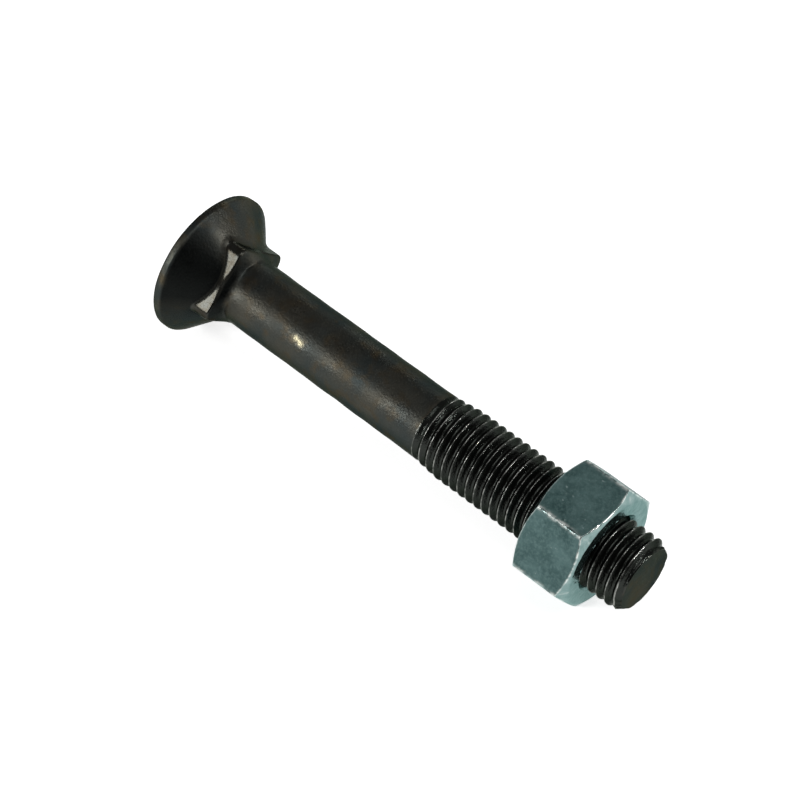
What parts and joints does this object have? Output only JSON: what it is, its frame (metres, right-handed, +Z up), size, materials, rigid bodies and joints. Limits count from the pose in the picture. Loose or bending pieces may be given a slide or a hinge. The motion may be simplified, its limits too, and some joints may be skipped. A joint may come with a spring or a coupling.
{
  "type": "plow bolt",
  "caption": "Flat countersunk bolt with a short square neck, a plain shank and a threaded end that carries a hexagon nut.",
  "frame": {"origin": "on the floor, under the middle of the whole, as it lies on the rim of its head and one flat of its nut", "axes": "+X along the bolt from its head to its tip, +Z up; the bolt's axis falls 1.86 degrees towards the tip"},
  "size_m": [0.113, 0.0306, 0.0306],
  "materials": {
    "black_steel": "black oxide on forged and rolled steel, lightly oiled",
    "zinc_plate": "bright zinc plating, blue-grey"
  },
  "bodies": {
    "bolt": {"bolt": "black_steel"},
    "nut": {"nut": "zinc_plate"}
  },
  "joints": [
    {"name": "nut_travel", "type": "slide", "parent": "bolt", "child": "nut", "axis": [0.9995, 0, -0.0324], "range_m": [-0.024, 0.024]}
  ]
}
